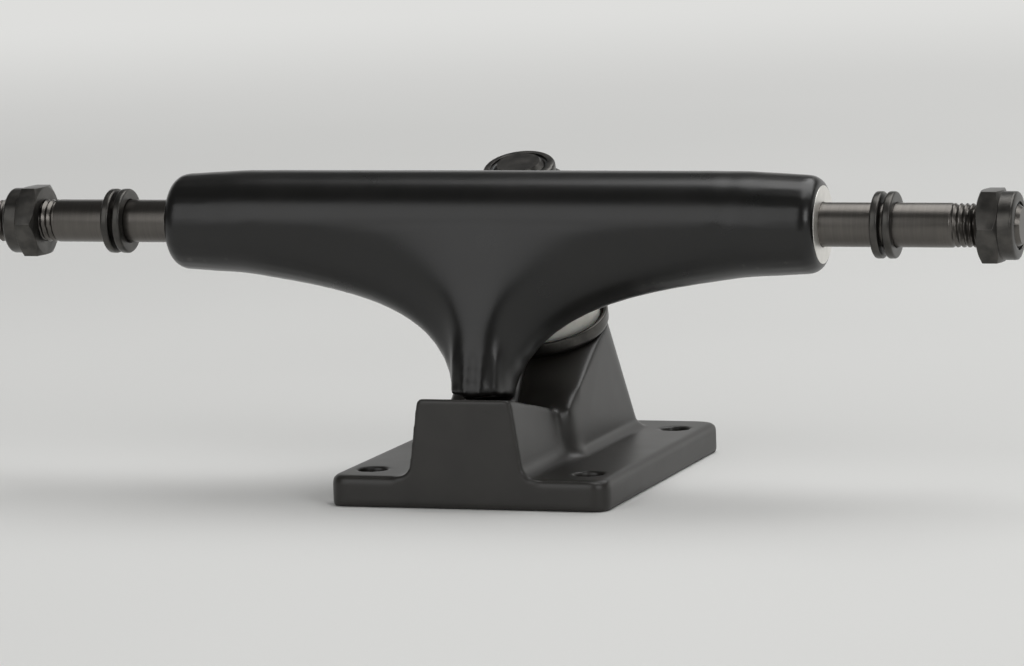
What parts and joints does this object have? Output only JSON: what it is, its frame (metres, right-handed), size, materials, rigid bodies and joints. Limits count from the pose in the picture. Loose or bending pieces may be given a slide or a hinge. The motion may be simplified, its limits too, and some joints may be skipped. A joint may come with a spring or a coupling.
{
  "type": "skateboard truck",
  "caption": "Skateboard truck without wheels: cast baseplate, pivot, kingpin with urethane bushings, T-shaped hanger that steers, steel axle with speed washers and lock nuts",
  "frame": {"origin": "middle of the deck face, on the plane that lies against the board", "axes": "+X along the axle, +Y from the pivot to the kingpin, +Z away from the board"},
  "size_m": [0.1968, 0.073, 0.0606],
  "materials": {
    "black_casting": "satin",
    "dark_steel": "satin",
    "black_steel": "satin",
    "white_urethane": "satin",
    "black_urethane": "matte",
    "nylon": "satin"
  },
  "bodies": {
    "base": {"baseplate": "black_casting", "pivot_cup": "black_urethane", "kingpin": "dark_steel", "lower_washer": "black_steel", "lower_bushing": "white_urethane", "upper_bushing": "white_urethane", "upper_washer": "black_steel"},
    "hanger": {"hanger": "black_casting", "axle": "dark_steel"},
    "kingpin_nut_travel": {"kingpin_nut_insert": "nylon"},
    "kingpin_nut": {"kingpin_nut": "black_steel"},
    "left_nut_travel": {"axle_nut_insert_left": "nylon"},
    "left_nut": {"axle_nut_left": "black_steel"},
    "left_inner_washer": {"speed_washer_left_inner": "black_steel"},
    "left_outer_washer": {"speed_washer_left_outer": "black_steel"},
    "right_nut_travel": {"axle_nut_insert_right": "nylon"},
    "right_nut": {"axle_nut_right": "black_steel"},
    "right_inner_washer": {"speed_washer_right_inner": "black_steel"},
    "right_outer_washer": {"speed_washer_right_outer": "black_steel"}
  },
  "joints": [
    {"name": "hanger_steer", "type": "hinge", "parent": "base", "child": "hanger", "pos_m": [0, -0.0265, 0.0115], "axis": [0, 0.7567, 0.6538], "range_deg": [-16, 16], "stiffness_Nm_per_rad": 12, "deforming": ["lower_bushing", "upper_bushing"]},
    {"name": "kingpin_nut_rise", "type": "slide", "parent": "base", "child": "kingpin_nut_travel", "axis": [0, -0.342, 0.9397], "range_m": [0, 0.00423]},
    {"name": "kingpin_nut_turn", "type": "hinge", "parent": "kingpin_nut_travel", "child": "kingpin_nut", "pos_m": [0, 0.00068, 0.05411], "axis": [0, -0.342, 0.9397], "range_deg": [0, 1440]},
    {"name": "left_nut_travel", "type": "slide", "parent": "hanger", "child": "left_nut_travel", "axis": [-1, 0, 0], "range_m": [-0.00265, 0.00635]},
    {"name": "left_nut_turn", "type": "hinge", "parent": "left_nut_travel", "child": "left_nut", "pos_m": [-0.0919, -0.016, 0.0495], "axis": [-1, 0, 0], "range_deg": [-900, 2160]},
    {"name": "left_inner_washer_slide", "type": "slide", "parent": "hanger", "child": "left_inner_washer", "axis": [1, 0, 0], "range_m": [0, 0.0095]},
    {"name": "left_outer_washer_slide", "type": "slide", "parent": "hanger", "child": "left_outer_washer", "axis": [-1, 0, 0], "range_m": [0, 0.0099]},
    {"name": "right_nut_travel", "type": "slide", "parent": "hanger", "child": "right_nut_travel", "axis": [1, 0, 0], "range_m": [-0.00529, 0.00423]},
    {"name": "right_nut_turn", "type": "hinge", "parent": "right_nut_travel", "child": "right_nut", "pos_m": [0.0944, -0.016, 0.0495], "axis": [1, 0, 0], "range_deg": [-1800, 1440]},
    {"name": "right_inner_washer_slide", "type": "slide", "parent": "hanger", "child": "right_inner_washer", "axis": [-1, 0, 0], "range_m": [0, 0.0097]},
    {"name": "right_outer_washer_slide", "type": "slide", "parent": "hanger", "child": "right_outer_washer", "axis": [1, 0, 0], "range_m": [0, 0.0097]}
  ],
  "couplings": [
    {"joint": "kingpin_nut_turn", "follows": "kingpin_nut_rise", "rad_per_m": 5936.9},
    {"joint": "left_nut_turn", "follows": "left_nut_travel", "rad_per_m": 5936.9},
    {"joint": "right_nut_turn", "follows": "right_nut_travel", "rad_per_m": 5936.9}
  ]
}
